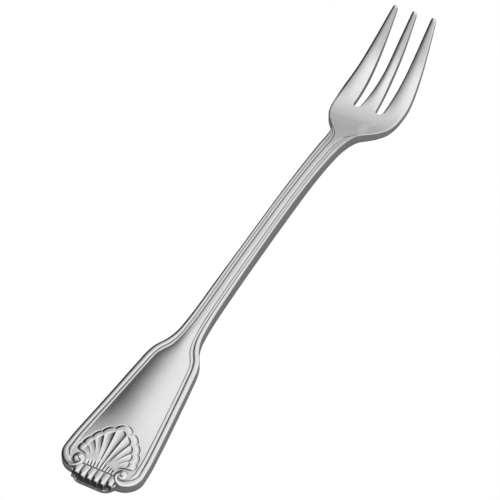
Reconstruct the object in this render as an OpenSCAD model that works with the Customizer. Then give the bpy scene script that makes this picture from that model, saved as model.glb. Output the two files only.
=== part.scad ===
// Oyster fork with a threaded fiddle handle that ends in a shell between two scrolls.
// The fork lies as on a table, with its tines up. X runs across it, Y from the handle to the tips, Z up.
// Places along the fork are counted from the end of the handle, and the whole is centred at the very end.
// One forging makes the real fork, so the regions below meet face to face and share their outlines.

/* [Length] */
// Length over everything, from the end of the handle to the tips of the tines
fork_l = 151; // [135:1:175]
// From the end of the handle to where its corners turn into straight sides
corner_l = 6; // [5.4:0.1:6.6]
// From the end of the handle to its shoulders
handle_l = 35.6; // [30:0.5:42]
// Length over which the shoulders run into the stem
sweep_l = 11.2; // [9:0.2:14]
// Length over which the stem flares, up to the palm
neck_l = 16; // [13:0.5:20]
// From the neck to the roots of the slots
head_l = 10.6; // [9:0.2:13]
// From the roots of the slots to the tips
tine_l = 24.4; // [18:0.2:30]
// From the roots of the slots to the widest place of the head
wide_l = 4; // [2:0.25:6]
// From the top of the arch to the roots of the slots
arch_l = 40; // [32:1:48]
// Length of the flat that the end of the handle rests on
rest_l = 5; // [3:0.1:5.2]

/* [Width] */
// Width of the handle near its end, where it is widest
handle_w = 18.8; // [18.2:0.1:20]
// Width of the handle at its shoulders
shoulder_w = 11.7; // [10:0.1:13.5]
// Width of the stem where the shoulders have run into it
stem_root_w = 5.06; // [4.8:0.05:6]
// Width of the stem where it is narrowest
stem_w = 4.06; // [3.8:0.05:4.7]
// Width of the stem where the neck begins
neck_w = 4.34; // [4.2:0.05:5]
// Width of the head where it is widest
head_w = 16.74; // [15:0.1:19]
// Width across the tips of the outer tines
tips_w = 11; // [10:0.1:12.5]
// Width of a slot at its root
slot_w = 1.75; // [1.2:0.05:2.2]
// Width of the middle tine at the roots of the slots
middle_w = 3.9; // [3.2:0.1:4.6]
// Width of a tine at its tip
tip_w = 1.2; // [0.9:0.05:1.5]

/* [Height] */
// Height of the top face at the end of the handle
end_top = 1.9; // [1.7:0.05:2.4]
// Height of the top face where the ground of the shell stops
ground_top = 3.13; // [2.8:0.05:3.5]
// Height of the top face at the top of the arch
arch_top = 7.97; // [6.5:0.1:10]
// Height of the top face at the bottom of the palm
palm_top = 1.5; // [1.4:0.05:1.9]
// Height of the top face at the tips
tip_top = 12.9; // [10:0.1:16]
// How far the palm dips between its edges
palm_dip = 0.4; // [0.1:0.05:0.6]

/* [Thickness] */
// Thickness of the handle where the ground of the shell stops
heel_t = 2.6; // [2.4:0.05:2.8]
// Thickness of the handle at its shoulders
handle_t = 2.35; // [2.1:0.05:2.6]
// Thickness of the stem
stem_t = 3.1; // [2.6:0.05:3.5]
// Thickness where the neck meets the head
neck_t = 2.3; // [1.8:0.05:2.6]
// Thickness of the tines
tine_t = 2.05; // [1.6:0.05:2.4]
// Thickness at the tips
tip_t = 1.1; // [0.8:0.05:1.4]
// Rounding of the edges
edge_r = 0.3; // [0.2:0.02:0.5]

/* [Threads] */
// Height of the threads above the plate that carries them
relief_h = 0.6; // [0.4:0.05:0.8]
// Width of the outer moulding on the handle
border_w = 1.4; // [1.1:0.05:1.6]
// Width of the outer moulding on the stem
stem_border_w = 0.7; // [0.5:0.05:0.8]
// Width of the inner thread on the handle
bead_w = 0.85; // [0.6:0.05:1]
// Width of the inner thread on the stem
stem_bead_w = 0.66; // [0.5:0.02:0.72]
// Rise of the panel's crown for each unit of its half width
crown_share = 0.05; // [0:0.005:0.08]

/* [Corners and lobe] */
// Radius of the handle's corners
corner_r = 4.2; // [3.8:0.1:4.6]
// Width of the lobe that carries the gadroons
lobe_w = 10.2; // [9.8:0.1:10.6]
// Corner radius of that lobe
lobe_r = 2.6; // [2:0.1:3]

/* [Shell] */
// Height of the ground above the plate
ground_h = 0.5; // [0.3:0.05:0.55]
// Height of the shell's dome above the ground
shell_h = 0.75; // [0.4:0.05:1]
// Depth of the valleys between its ribs
valley_h = 0.3; // [0.1:0.05:0.35]
// Number of ribs
rib_count = 9; // [7:2:13]
// Distance from the end of the handle to the foot of the shell
shell_y = 3.9; // [3.8:0.05:4.2]
// Width of the shell at its foot
shell_foot_w = 6.2; // [5:0.1:6.3]
// Length of the middle rib
rib_l = 10.4; // [9:0.1:10.8]
// Length of the outermost rib
side_rib_l = 6; // [5:0.1:6.4]
// Angle over which the ribs fan out
fan_angle = 128; // [110:1:132]
// Width of the scalloped rim round the ribs
rim_w = 1.2; // [0.6:0.1:1.3]
// Depth of the scallops in that rim
scallop_h = 0.35; // [0.1:0.05:0.5]
// From the rim to the end of the level ground round it
ground_margin = 1; // [0.5:0.1:3]

/* [Scrolls] */
// Distance from the middle of the fork to the eye of a scroll
scroll_x = 5.05; // [5:0.05:5.2]
// Distance from the end of the handle to the eye
scroll_y = 4.3; // [4.2:0.05:4.4]
// Radius of the outer turn
scroll_r = 1.6; // [1.5:0.05:1.65]
// Height of the scroll above the plate
scroll_h = 0.75; // [0.5:0.05:1]
// Width of the moulding where it enters the scroll
scroll_w = 1.12; // [0.9:0.02:1.2]

/* [Gadroons] */
// Number of lobes along the end
lobe_count = 6; // [4:1:8]
// Width of the row of lobes
gadroons_w = 9.36; // [8.8:0.04:9.6]
// Height of the lobes above the plate
gadroon_h = 0.55; // [0.3:0.05:0.7]
// Depth of the grooves between them
groove_h = 0.22; // [0.1:0.02:0.3]
// Distance from the end of the handle to the top ends of the lobes
gadroon_y = 3.25; // [3.1:0.05:3.4]
// Depth of the ledge that they roll over
ledge_l = 0.9; // [0.7:0.05:1.1]
// Height of that ledge above the table
ledge_z = 0.75; // [0.5:0.05:0.9]
// Width of the hinge bar along Y
hinge_w = 0.4; // [0.3:0.05:0.5]
// Height of the hinge bar above the plate
hinge_h = 0.75; // [0.5:0.05:0.9]

/* [Hidden] */

steel = "#c9cbcd";
bright_steel = "#dddfe0";
shaded_steel = "#a9abad";

// Places along the fork
ground_l = shell_y + rib_l + rim_w + ground_margin;
root_y = fork_l - tine_l;
head_y = root_y - head_l;
neck_y = head_y - neck_l;
arch_y = root_y - arch_l;
wide_y = root_y + wide_l;
stem_y = handle_l + sweep_l;

// Numbers of sections along each region
corner_steps = 4;
taper_steps = 6;
sweep_steps = 12;
stem_steps = 14;
neck_steps = 10;
head_steps = 7;
slot_steps = 5;
tine_steps = 9;
// Clearance between neighbouring ornaments
gap = 0.08;
// Overrun of every cut
over = 1;
// The two sides of the fork
left = -1;
right = 1;
$fn = 64;

// How the half width falls or grows from one named place to the next: [share of the way, share of the change]
taper_shares = [[0.12, 0.05], [0.23, 0.155], [0.43, 0.36], [0.635, 0.57], [0.84, 0.785], [1, 1]];
sweep_shares = [[0.107, 0.115], [0.196, 0.27], [0.286, 0.46], [0.375, 0.615], [0.464, 0.735], [0.64, 0.885],
                [0.82, 0.955], [1, 1]];
stem_shares = [[0.26, 0.56], [0.45, 0.78], [0.64, 0.92], [1, 1]];
neck_shares = [[0.5, 0.25], [1, 1]];
flare_shares = [[0.19, 0.024], [0.32, 0.053], [0.386, 0.082], [0.451, 0.126], [0.484, 0.166], [0.516, 0.231],
                [0.549, 0.344], [0.582, 0.465], [0.614, 0.582], [0.647, 0.68], [0.71, 0.83], [0.81, 0.952],
                [0.908, 0.992], [1, 1]];
outer_shares = [[0.07, 0.02], [0.157, 0.085], [0.3, 0.215], [0.45, 0.36], [0.6, 0.52], [0.745, 0.69],
                [0.89, 0.855], [1, 1]];
// The same for the height of the top face
rise_shares = [[0.2, 0.265], [0.37, 0.54], [0.49, 0.69], [0.63, 0.82], [0.77, 0.91], [0.9, 0.975], [1, 1]];
fall_shares = [[0.15, 0.014], [0.35, 0.088], [0.45, 0.158], [0.53, 0.235], [0.6, 0.34], [0.68, 0.487],
               [0.755, 0.655], [0.83, 0.822], [0.9, 0.94], [1, 1]];
lift_shares = [[0.09, 0.007], [0.21, 0.043], [0.335, 0.112], [0.46, 0.218], [0.58, 0.36], [0.7, 0.53],
               [0.825, 0.722], [1, 1]];
// The moulding widens where it goes round the shoulder, and runs out on the neck
border_taper_shares = [[0.35, 0.1], [0.8, 0.75], [1, 1]];
border_shoulder_shares = [[0.1, -0.12], [0.2, -0.33], [0.37, 0.05], [0.64, 0.7], [1, 1]];
border_stem_shares = [[0.2, 0.5], [0.35, 0.93], [0.7, 1]];
border_neck_shares = [[0.37, -0.08], [0.74, 0], [0.81, 0.15], [0.86, 0.42], [0.9, 0.65], [1, 1]];
bead_taper_shares = [[0.35, 0.3], [0.8, 0.88], [1, 1]];
bead_shoulder_shares = [[0.1, -1.7], [0.2, -2.4], [0.3, -1.4], [0.4, -0.3], [0.64, 1.1], [1, 1.4]];
bead_stem_shares = [[0.3, 1], [1, 1]];
bead_neck_shares = [[0.74, 0], [0.86, 0.12], [0.9, 0.3], [1, 1]];
// Widths of the threads where they enter the corners, as shares of their widths on the handle
border_corner_share = 0.82;
bead_corner_share = 1.15;
// Width of the inner thread at the shoulders, as a share of its width on the handle
bead_shoulder_share = 0.87;
// How much of the moulding's change in width lies on the shoulders, and how far it widens on the neck
border_root_share = 0.57;
border_neck_share = 1.2;
// Sections of the threads: [share across, share of their height]
border_shares = [[0, 0.5], [0.1, 0.74], [0.28, 0.94], [0.5, 1], [0.7, 0.95], [0.86, 0.78], [0.96, 0.5],
                 [1, 0.15]];
bead_shares = [[0, 0.66], [0.18, 0.85], [0.5, 0.95], [0.82, 0.82], [1, 0.5]];
// Places across the panel, and the height of its edge as a share of the threads' height
panel_shares = [-0.96, -0.75, -0.45, -0.15, 0.15, 0.45, 0.75, 0.96];
panel_edge_share = 0.8;
panel_level_share = 0.93;
// Length over which the panel's crown grows from the ground, as a share of the ground's length
crown_grow_share = 0.5;
// Places across a head or tine, and the steps of a rounded edge
blade_shares = [-0.75, -0.45, -0.15, 0.15, 0.45, 0.75];
round_angles = [0, 45, 90];
// Thickness between two named ones
thin_shares = [[0.35, 0.42], [0.6, 0.68], [1, 1]];
thick_tine_shares = [[0.45, 1], [0.7, 0.8]];
// The palm's dip grows over the head and fades along the tines
dip_shares = [[0.5, 0.6], [1, 1]];
tip_dip_share = 0.3;
// The tines' inner edges from root to tip
middle_shares = [[0.18, 0.22], [0.38, 0.5], [0.79, 0.76], [1, 1]];
inner_shares = [[0.18, 0.04], [0.38, 0.23], [0.79, 0.66], [1, 1]];
// A tip's rounding as a share of its width, and how narrow its end face is
tip_round_share = 0.45;
tip_end_share = 0.55;
tip_round_steps = 3;

// Values of a table of shares between two places and two values
function zone(shares, y0, y1, v0, v1) = [for (s = shares) [y0 + (y1 - y0) * s[0], v0 + (v1 - v0) * s[1]]];

// A smooth curve through knots [place, value]
function span(k, y, i = 0) = i > len(k) - 3 || y < k[i + 1][0] ? i : span(k, y, i + 1);
function secant(k, i) = (k[i + 1][1] - k[i][1]) / (k[i + 1][0] - k[i][0]);
function tangent(k, i) =
  i == 0 ? secant(k, 0) :
  i == len(k) - 1 ? secant(k, i - 1) :
  let (a = k[i][0] - k[i - 1][0], b = k[i + 1][0] - k[i][0])
  (b * secant(k, i - 1) + a * secant(k, i)) / (a + b);
function curve(k, y) =
  let (i = span(k, y), h = k[i + 1][0] - k[i][0], t = (y - k[i][0]) / h, u = 1 - t)
  k[i][1] * u * u * (1 + 2 * t) + k[i + 1][1] * t * t * (1 + 2 * u)
  + h * t * u * (u * tangent(k, i) - t * tangent(k, i + 1));

// Half width of the outline
width_knots = concat(
  [[corner_l, handle_w / 2]],
  zone(taper_shares, corner_l, handle_l, handle_w / 2, shoulder_w / 2),
  zone(sweep_shares, handle_l, stem_y, shoulder_w / 2, stem_root_w / 2),
  zone(stem_shares, stem_y, arch_y, stem_root_w / 2, stem_w / 2),
  zone(neck_shares, arch_y, neck_y, stem_w / 2, neck_w / 2),
  zone(flare_shares, neck_y, wide_y, neck_w / 2, head_w / 2),
  zone(outer_shares, wide_y, fork_l, head_w / 2, tips_w / 2));
function half_w(y) = curve(width_knots, y);

// Height of the top face, a plane as far as the ground of the shell reaches
top_knots = concat(
  [[0, end_top], [ground_l, ground_top]],
  zone(rise_shares, ground_l, arch_y, ground_top, arch_top),
  zone(fall_shares, arch_y, root_y, arch_top, palm_top),
  zone(lift_shares, root_y, fork_l, palm_top, tip_top));
ground_slope = (ground_top - end_top) / ground_l;
function top_z(y) = y <= ground_l ? end_top + ground_slope * y : curve(top_knots, y);

// Thickness, and the height of the underside
thick_knots = concat(
  [[rest_l, top_z(rest_l)], [ground_l, heel_t], [handle_l, handle_t]],
  zone(thin_shares, handle_l, arch_y - sweep_l, handle_t, stem_t),
  [[arch_y, stem_t]],
  zone(thin_shares, arch_y, head_y, stem_t, neck_t),
  [[root_y, palm_top]],
  zone(thick_tine_shares, root_y, fork_l, palm_top, tine_t),
  [[fork_l, tip_t]]);
function under_z(y) = y <= rest_l ? 0 : top_z(y) - curve(thick_knots, y);
// The plate that carries the threads ends below the top face
function seat_z(y) = top_z(y) - relief_h;

// Widths of the outer moulding and the inner thread
corner_border_w = border_w * border_corner_share;
root_border_w = border_w + (stem_border_w - border_w) * border_root_share;
neck_border_w = stem_border_w * border_neck_share;
border_knots = concat(
  [[corner_l, corner_border_w]],
  zone(border_taper_shares, corner_l, handle_l, corner_border_w, border_w),
  zone(border_shoulder_shares, handle_l, stem_y, border_w, root_border_w),
  zone(border_stem_shares, stem_y, neck_y, root_border_w, stem_border_w),
  [[neck_y, neck_border_w]],
  zone(border_neck_shares, neck_y, head_y, neck_border_w, 0));
function border_at(y) = curve(border_knots, y);
corner_bead_w = bead_w * bead_corner_share;
shoulder_bead_w = bead_w * bead_shoulder_share;
bead_knots = concat(
  [[corner_l, corner_bead_w]],
  zone(bead_taper_shares, corner_l, handle_l, corner_bead_w, shoulder_bead_w),
  zone(bead_shoulder_shares, handle_l, stem_y, shoulder_bead_w, stem_bead_w),
  zone(bead_stem_shares, stem_y, neck_y, stem_bead_w, stem_bead_w),
  zone(bead_neck_shares, neck_y, head_y, stem_bead_w, 0));
function bead_at(y) = curve(bead_knots, y);
function groove_x(y) = half_w(y) - border_at(y);
function panel_x(y) = groove_x(y) - bead_at(y);

// Even steps from a to b, and two such lists joined at their common end
function steps(a, b, n) = [for (i = [0 : n]) a + (b - a) * i / n];
function join(a, b) = concat(a, [for (i = [1 : len(b) - 1]) b[i]]);
corner_list = steps(corner_l, ground_l, corner_steps);
taper_list = steps(ground_l, handle_l, taper_steps);
sweep_list = steps(handle_l, stem_y, sweep_steps);
stem_list = steps(stem_y, neck_y, stem_steps);
neck_list = steps(neck_y, head_y, neck_steps);
head_list = steps(head_y, root_y, head_steps);
// The threads run out one step before the head
runout_list = [for (i = [0 : neck_steps - 1]) neck_list[i]];
stem_side_list = join(join(sweep_list, stem_list), runout_list);
thread_list = join(join(corner_list, taper_list), stem_side_list);

// Solid through sections of equal numbers of points, taken in order along Y
module loft(sections) {
  n = len(sections[0]);
  last = len(sections) - 1;
  walls = [
    for (i = [0 : last - 1], j = [0 : n - 1])
      let (a = i * n + j, b = i * n + (j + 1) % n)
      each [[a, b + n, b], [a, a + n, b + n]]
  ];
  ends = [[for (j = [0 : n - 1]) j], [for (j = [n - 1 : -1 : 0]) last * n + j]];
  polyhedron([for (s = sections) each s], concat(walls, ends));
}

// Strip on the plate, as wide on the left as on the right, through places [half width, place along the fork]
module strip(places, h) {
  loft([
    for (p = places) let (low = seat_z(p[1]))
      [[p[0], p[1], low], [-p[0], p[1], low], [-p[0], p[1], low + h], [p[0], p[1], low + h]]
  ]);
}

// Sets a piece in the part's own frame, mirrored on the left side
module placed(side = right) {
  translate([0, -fork_l / 2, 0])
    if (side == right) children();
    else mirror([1, 0, 0]) children();
}

// Lower edges grow round from the crisp ones of the ornament's end
function low_r(y) = min(edge_r, edge_r * (y - corner_l) / (ground_l - corner_l) + gap);
function low_round(x, y) =
  let (r = low_r(y))
  [for (a = round_angles) [x - r + r * cos(a), y, under_z(y) + r - r * sin(a)]];

// Section of the plates that carry the threads
function plate_section(y) =
  let (w = half_w(y), right = low_round(w, y))
  concat([[-w, y, seat_z(y)], [w, y, seat_z(y)]], right,
         [for (i = [len(right) - 1 : -1 : 0]) [-right[i][0], y, right[i][2]]]);

// Section of a thread between two places across
function thread_section(y, x0, x1, shares) =
  concat([[x1, y, seat_z(y)], [x0, y, seat_z(y)]],
         [for (s = shares) [x0 + (x1 - x0) * s[0], y, seat_z(y) + relief_h * s[1]]]);

// Section of the panel, crowned in the middle
function crown_h(y) = crown_share * panel_x(y) * min(1, (y - ground_l) / (ground_l * crown_grow_share));
function panel_h(s, y) = relief_h * panel_level_share + crown_h(y) * (1 - s * s);
function panel_section(y, x) =
  concat([[x, y, seat_z(y)], [-x, y, seat_z(y)], [-x, y, seat_z(y) + relief_h * panel_edge_share]],
         [for (s = panel_shares) [x * s, y, seat_z(y) + panel_h(s, y)]],
         [[x, y, seat_z(y) + relief_h * panel_edge_share]]);

// Section of the head or a tine from x0 to x1, dipped between the outer edges of the head
dip_knots = concat([[neck_y, 0], [head_y, 0]], zone(dip_shares, head_y, root_y, 0, palm_dip),
                   [[wide_y, palm_dip], [fork_l, palm_dip * tip_dip_share]]);
function dip(x, y) = let (s = x / half_w(y)) curve(dip_knots, y) * (1 - s * s);
function blade_section(y, x0, x1, t, r) =
  let (m = (x0 + x1) / 2, h = (x1 - x0) / 2 - r)
  concat(
    [for (a = round_angles) [x0 + r - r * cos(a), y, top_z(y) - dip(x0, y) - r + r * sin(a)]],
    [for (s = blade_shares) [m + h * s, y, top_z(y) - dip(m + h * s, y)]],
    [for (a = round_angles) [x1 - r + r * sin(a), y, top_z(y) - dip(x1, y) - r + r * cos(a)]],
    [for (a = round_angles) [x1 - r + r * cos(a), y, top_z(y) - dip(x1, y) - t + r - r * sin(a)]],
    [for (a = round_angles) [x0 + r - r * sin(a), y, top_z(y) - dip(x0, y) - t + r - r * cos(a)]]);
function blade_t(y) = curve(thick_knots, y);

// The end of the handle: two round corners and a lobe between them
module end_outline() {
  corner_x = handle_w / 2 - corner_r;
  lobe_x = lobe_w / 2 - lobe_r;
  intersection() {
    union() {
      for (s = [-1, 1]) {
        translate([s * corner_x, corner_l]) circle(r = corner_r);
        translate([s * lobe_x, lobe_r]) circle(r = lobe_r);
      }
      translate([-corner_x, corner_l - corner_r]) square([2 * corner_x, corner_r]);
      translate([-lobe_x, 0]) square([2 * lobe_x, lobe_r]);
      translate([-lobe_w / 2, lobe_r]) square([lobe_w, corner_l - lobe_r]);
    }
    translate([-handle_w / 2, 0]) square([handle_w, corner_l]);
  }
}

module handle_end() {
  color(shaded_steel)
  difference() {
    intersection() {
      linear_extrude(end_top + ground_top) end_outline();
      translate([-handle_w, 0, 0]) rotate([90, 0, 90]) linear_extrude(2 * handle_w)
        polygon([[0, 0], [rest_l, 0], [corner_l, under_z(corner_l)], [corner_l, seat_z(corner_l)],
                 [0, seat_z(0)]]);
    }
    translate([-lobe_w / 2, -over, ledge_z]) cube([lobe_w, over + ledge_l, end_top + over]);
  }
}

module handle_plate() {
  color(steel) loft([for (y = join(join(corner_list, taper_list), sweep_list)) plate_section(y)]);
}

module stem() {
  color(steel) loft([for (y = stem_list) plate_section(y)]);
}

module neck() {
  color(steel) loft([for (y = neck_list) plate_section(y)]);
}

// The belly is cut level where the fork rests on it
module head() {
  color(steel)
  difference() {
    loft([for (y = head_list) blade_section(y, -half_w(y), half_w(y), blade_t(y), edge_r)]);
    translate([-head_w / 2, head_y, -over]) cube([head_w, 2 * head_l, over]);
  }
}

// Half width of the middle tine and the inner edge of an outer one, after their round roots
root_r = slot_w / 2;
slot_x = (middle_w + slot_w) / 2;
middle_knots = concat([[root_y, middle_w / 2]], zone(middle_shares, root_y, fork_l, middle_w / 2, tip_w / 2));
inner_knots = concat([[root_y, slot_x + root_r]],
                     zone(inner_shares, root_y, fork_l, slot_x + root_r, tips_w / 2 - tip_w));
function root_fill(y) =
  let (d = root_y + root_r - y) d > 0 ? root_r - sqrt(root_r * root_r - d * d) : 0;
function middle_x(y) = curve(middle_knots, y) + root_fill(y);
function inner_x(y) = curve(inner_knots, y) - root_fill(y);

// Places along a tine: close together round the root and over the tip
tip_r = tip_w * tip_round_share;
tine_list = concat(
  [for (i = [0 : slot_steps - 1]) root_y + root_r * (1 - cos(90 * i / slot_steps))],
  steps(root_y + root_r, fork_l - tip_r, tine_steps),
  [for (i = [1 : tip_round_steps]) fork_l - tip_r + tip_r * sin(90 * i / tip_round_steps)]);
// How much of its width a tine keeps towards the end of its tip
function tip_keep(y) =
  let (d = max(0, y - fork_l + tip_r) / tip_r) tip_end_share + (1 - tip_end_share) * sqrt(1 - d * d);
function tine_section(y, x0, x1) =
  let (m = (x0 + x1) / 2, h = (x1 - x0) / 2 * tip_keep(y), t = blade_t(y) * tip_keep(y))
  blade_section(y, m - h, m + h, t, min(edge_r, h / 2, t / 3));

module outer_tine() {
  color(steel)
  difference() {
    loft([for (y = tine_list) tine_section(y, inner_x(y), half_w(y))]);
    translate([0, root_y, -over]) cube([head_w / 2, tine_l / 2, over]);
  }
}

module middle_tine() {
  color(steel)
  difference() {
    loft([for (y = tine_list) tine_section(y, -middle_x(y), middle_x(y))]);
    translate([-middle_w, root_y, -over]) cube([2 * middle_w, tine_l / 2, over]);
  }
}

// The crowned panel narrows to the strip of the stem, and takes the whole width at the head
module panel() {
  color(bright_steel)
  loft(concat([for (y = join(taper_list, stem_side_list)) panel_section(y, panel_x(y))],
              [panel_section(head_y, half_w(head_y))]));
}

// The ground of the shell goes round the scrolls, which it and the gadroons keep clear of
clear_share = 1.06;
clear_r = scroll_r * clear_share + gap;
clear_y = scroll_y + clear_r;
round_steps = 8;
function eye_point(a, r) = [scroll_x + r * cos(a), scroll_y + r * sin(a)];
function round_x(y) = scroll_x - sqrt(max(0, clear_r * clear_r - pow(y - scroll_y, 2)));

module shell_ground() {
  color(steel)
  strip(concat(
    [for (y = steps(shell_y, clear_y, round_steps)) [round_x(y), y]],
    [[panel_x(corner_l) - gap, clear_y + gap]],
    [for (y = corner_list) if (y > clear_y + gap) [panel_x(y), y]]), ground_h);
}

module border() {
  color(bright_steel)
  loft([for (y = thread_list) thread_section(y, groove_x(y), half_w(y), border_shares)]);
}

module bead() {
  color(bright_steel)
  loft([for (y = thread_list) thread_section(y, panel_x(y), groove_x(y), bead_shares)]);
}

// Each scroll is one band: round the corner, along the end and into the volute.
// Turn about the eye and radius of its outer edge, the radius as a share of the scroll's
scroll_shares = [[0, 2.49], [20, 2.17], [45, 1.87], [65, 1.68], [90, 1.4], [120, 1.13], [150, 1.02], [180, 1],
                 [225, 1], [270, 1.02], [315, 0.97], [360, 0.86], [405, 0.69], [450, 0.52], [495, 0.4],
                 [540, 0.32]];
// Its width at some of those turns, as a share of the width that enters
band_shares = [[0, 1], [65, 1.05], [120, 0.85], [180, 0.66], [270, 0.6], [360, 0.52], [450, 0.42],
               [540, 0.3]];
scroll_turn = 540;
scroll_steps = 40;
// Section of the band: [share of its width, share of its height]
band_section_shares = [[0, 0], [0, 0.4], [0.15, 0.8], [0.5, 1], [0.85, 0.8], [1, 0.4], [1, 0]];
function scroll_section(turn) =
  let (r = scroll_r * curve(scroll_shares, turn), w = scroll_w * curve(band_shares, turn))
  [for (s = band_section_shares)
    let (p = eye_point(-turn, r - w * s[0])) [p[0], p[1], seat_z(p[1]) + scroll_h * s[1]]];
// Where it leaves the moulding
entry_section =
  [for (s = band_section_shares)
    [handle_w / 2 - corner_border_w * s[0], corner_l, seat_z(corner_l) + relief_h * s[1]]];

module scroll() {
  turns = steps(0, scroll_turn, scroll_steps);
  color(bright_steel) loft(concat([entry_section], [for (a = turns) scroll_section(a)]));
}

// The shell's ribs are counted by u across the fan, from minus to plus half their number,
// and a rib runs from v = 0 at its foot to v = 1 at its tip
half_ribs = rib_count / 2;
rib_angle = fan_angle / rib_count;
foot_step = shell_foot_w / rib_count;
rib_samples = 6;
rib_rows = 9;
// How far sideways the middle of a rib has bent, and how round its section is
rib_bend_share = 0.3;
rib_round_share = 0.97;
// Height along a rib as a share of the shell's
dome_shares = [[0, 0.35], [0.2, 0.6], [0.4, 0.78], [0.6, 0.85], [0.8, 0.81], [1, 0.7]];
// Section of the rim: [share of its width, share of the shell's height]
rim_shares = [[0.35, 0.62], [0.8, 0.55], [1, 0.25], [1, 0]];
function rib_length(u) = rib_l - (rib_l - side_rib_l) * min(1, abs(u) / (half_ribs - 1 / 2));
function tip_point(u, extra) =
  let (r = rib_length(u) + extra) [r * sin(rib_angle * u), shell_y + r * cos(rib_angle * u)];
// A rib leaves its foot straight and bends outward
function rib_point(u, v) =
  let (a = [foot_step * u, shell_y], c = tip_point(u, 0),
       b = [a[0] + (c[0] - a[0]) * rib_bend_share, (a[1] + c[1]) / 2])
  a * (1 - v) * (1 - v) + b * 2 * v * (1 - v) + c * v * v;
// Drop from 0 on the ridge of a rib to 1 in the valleys beside it
function rib_drop(u) =
  let (f = u + half_ribs - floor(u + half_ribs)) 1 - sqrt(1 - pow(2 * f - 1, 2) * rib_round_share);
function on_ground(p, h) = [p[0], p[1], seat_z(p[1]) + ground_h + h];
function rib_section(u) =
  let (rim = rim_w - scallop_h * rib_drop(u), valley = valley_h * rib_drop(u))
  concat(
    [on_ground(rib_point(u, 0), 0)],
    [for (v = steps(0, 1, rib_rows)) on_ground(rib_point(u, v), shell_h * curve(dome_shares, v) - valley)],
    [for (s = rim_shares) on_ground(tip_point(u, rim * s[0]), shell_h * s[1])]);

module shell() {
  columns = steps(-half_ribs, half_ribs, rib_count * rib_samples);
  color(bright_steel) loft([for (u = columns) rib_section(u)]);
}

module hinge() {
  x = shell_foot_w / 2;
  y1 = shell_y - gap;
  y0 = y1 - hinge_w;
  color(steel) strip([[x, y0], [x, y1]], hinge_h);
}

// A gadroon runs from the hinge down over the end.
// Its section, seen from the side, follows the ledge underneath
roll_angles = [15, 30, 45, 60, 75, 90];
gadroon_columns = 8;
gadroon_w = gadroons_w / lobe_count;
// How round its back is, how far its roll reaches over the top, and how deep its upper end is cut off
lobe_round_share = 0.96;
roll_share = 0.6;
tail_share = 0.25;
function upper_y(x) =
  let (d = clear_r * clear_r - pow(abs(x) - scroll_x, 2))
  d > 0 ? min(gadroon_y, scroll_y - sqrt(d)) : gadroon_y;
function lobe_front(x) =
  let (d = abs(x) - lobe_w / 2 + lobe_r) d <= 0 ? 0 : lobe_r - sqrt(lobe_r * lobe_r - d * d);
function gadroon_section(x, y_front, s) =
  let (drop = groove_h * (1 - sqrt(1 - s * s * lobe_round_share)),
       upper = upper_y(x),
       top = seat_z(upper) + gadroon_h - drop,
       tail = gadroon_h * tail_share,
       front = y_front + drop,
       reach = (upper - tail - front) * roll_share)
  concat(
    [[x, upper, seat_z(upper)], [x, ledge_l, seat_z(ledge_l)]],
    [[x, ledge_l, ledge_z], [x, front, ledge_z]],
    [for (a = roll_angles)
      [x, front + reach * (1 - cos(a)), ledge_z + (top - ledge_z) * sin(a)]],
    [[x, upper - tail, top], [x, upper, top - tail]]);

module gadroon(k) {
  mid = (k - (lobe_count + 1) / 2) * gadroon_w;
  front = lobe_front(mid);
  half = (gadroon_w - gap / 2) / 2;
  color(bright_steel)
  loft([for (s = steps(1, -1, gadroon_columns)) gadroon_section(mid + s * half, front, s)]);
}

placed() handle_end();
placed() handle_plate();
placed() stem();
placed() neck();
placed() head();
placed(left) outer_tine();  // left_tine
placed() middle_tine();
placed(right) outer_tine();  // right_tine
placed() panel();
placed() shell_ground();
placed(left) border();  // left_border
placed(right) border();  // right_border
placed(left) bead();  // left_bead
placed(right) bead();  // right_bead
placed(left) scroll();  // left_scroll
placed(right) scroll();  // right_scroll
placed() shell();
placed() hinge();
for (k = [1 : lobe_count])
  placed() gadroon(k);
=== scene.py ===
# %% [markdown]
# A small oyster fork, dressed for the camera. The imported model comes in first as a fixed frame.
# It says where every region of the fork begins and ends, so most places below are read from it.

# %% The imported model
import math

import bmesh
import bpy
import numpy as np
from mathutils import Matrix, Vector


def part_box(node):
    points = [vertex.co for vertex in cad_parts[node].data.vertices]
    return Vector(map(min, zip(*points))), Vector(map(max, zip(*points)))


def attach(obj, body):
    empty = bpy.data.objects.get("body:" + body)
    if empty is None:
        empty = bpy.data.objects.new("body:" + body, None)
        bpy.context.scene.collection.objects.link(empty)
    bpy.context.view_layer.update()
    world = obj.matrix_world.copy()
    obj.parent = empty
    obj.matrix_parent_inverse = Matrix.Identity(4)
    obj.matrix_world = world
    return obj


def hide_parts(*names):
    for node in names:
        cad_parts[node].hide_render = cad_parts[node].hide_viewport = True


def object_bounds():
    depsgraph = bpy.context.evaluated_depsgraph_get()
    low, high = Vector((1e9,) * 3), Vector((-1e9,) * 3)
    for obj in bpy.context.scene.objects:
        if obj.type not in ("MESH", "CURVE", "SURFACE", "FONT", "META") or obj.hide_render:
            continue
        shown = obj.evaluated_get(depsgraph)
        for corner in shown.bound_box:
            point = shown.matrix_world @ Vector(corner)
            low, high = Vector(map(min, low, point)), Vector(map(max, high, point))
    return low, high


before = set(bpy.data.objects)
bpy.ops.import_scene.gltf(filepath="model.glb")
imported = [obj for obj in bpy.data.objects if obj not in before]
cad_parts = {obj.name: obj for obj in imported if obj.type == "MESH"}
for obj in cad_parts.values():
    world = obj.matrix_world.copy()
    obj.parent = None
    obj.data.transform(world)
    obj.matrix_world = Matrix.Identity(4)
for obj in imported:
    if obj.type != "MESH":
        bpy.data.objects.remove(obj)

MM = 0.001
cad_low, cad_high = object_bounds()
print("the packed fork is", round((cad_high.y - cad_low.y) / MM, 1), "mm long")

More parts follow.
